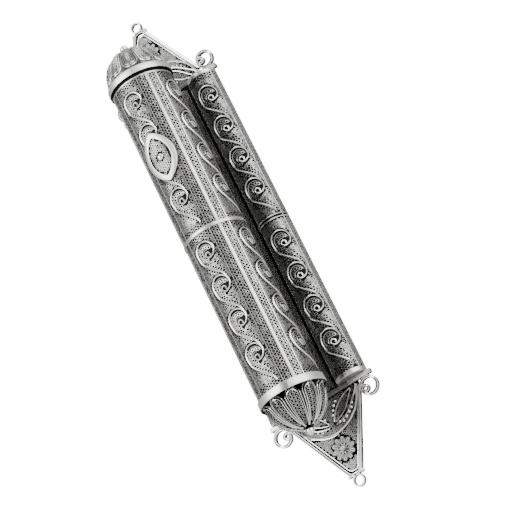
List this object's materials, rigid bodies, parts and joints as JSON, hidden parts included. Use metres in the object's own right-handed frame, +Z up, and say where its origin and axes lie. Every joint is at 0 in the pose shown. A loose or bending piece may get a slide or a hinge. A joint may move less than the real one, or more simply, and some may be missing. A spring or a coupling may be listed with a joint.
{
  "type": "mezuzah case",
  "caption": "Filigree mezuzah case: round tube with slip-on cap and rolled parchment, held before a fluted back plate with gabled ends and nail eyelets.",
  "frame": {"origin": "on the wall plane, halfway between the two nail holes", "axes": "+Z up along the tube towards the cap, +X to the right seen from the front, +Y into the wall"},
  "size_m": [0.0342, 0.0285, 0.1536],
  "materials": {
    "oxidised_filigree": "blackened silver ground under fine wirework",
    "raised_filigree": "silver filigree, bright wires over a dark ground",
    "drawn_silver": "drawn flat wire, polished on the edges",
    "bead_silver": "melted bead, polished",
    "polished_silver": "polished sheet with fine hand marks",
    "plain_silver": "plain annealed sheet, slightly tarnished",
    "parchment": "scraped skin, rolled",
    "linen_thread": "twisted thread"
  },
  "bodies": {
    "case": {"back_plate": "plain_silver", "valley_panel": "oxidised_filigree", "flute_left": "raised_filigree", "flute_right": "raised_filigree", "flute_bezels": "drawn_silver", "flute_end_plates": "plain_silver", "flute_cross_wires": "drawn_silver", "closing_bar_top": "drawn_silver", "closing_bar_bottom": "drawn_silver", "pediment_top": "oxidised_filigree", "pediment_bottom": "oxidised_filigree", "rim_wire_top": "drawn_silver", "rim_wire_bottom": "drawn_silver", "eyelet_top": "drawn_silver", "eyelet_bottom": "drawn_silver", "apex_beads": "bead_silver", "arc_wires": "drawn_silver", "rosettes": "raised_filigree", "rosette_balls": "bead_silver", "tube_saddles": "plain_silver", "inner_tube": "plain_silver", "tube_floor": "plain_silver", "panels_upper": "oxidised_filigree", "panels_lower": "oxidised_filigree", "panel_strips": "drawn_silver", "mid_band": "drawn_silver", "bottom_collar": "polished_silver", "bottom_dome": "raised_filigree", "bottom_finial": "bead_silver", "emblem": "polished_silver", "emblem_pegs": "polished_silver"},
    "cap": {"cap_collar": "polished_silver", "cap_sleeve": "plain_silver", "cap_dome": "raised_filigree", "cap_finial": "bead_silver"},
    "scroll": {"parchment_roll": "parchment", "parchment_tie": "linen_thread"}
  },
  "joints": [
    {"name": "cap_lift", "type": "slide", "parent": "case", "child": "cap", "axis": [0, 0, 1], "range_m": [0, 0.125]},
    {"name": "scroll_draw", "type": "slide", "parent": "case", "child": "scroll", "axis": [0, 0, 1], "range_m": [0, 0.1]}
  ],
  "couplings": [
    {"joint": "scroll_draw", "follows": "cap_lift", "ratio": 0.8}
  ]
}
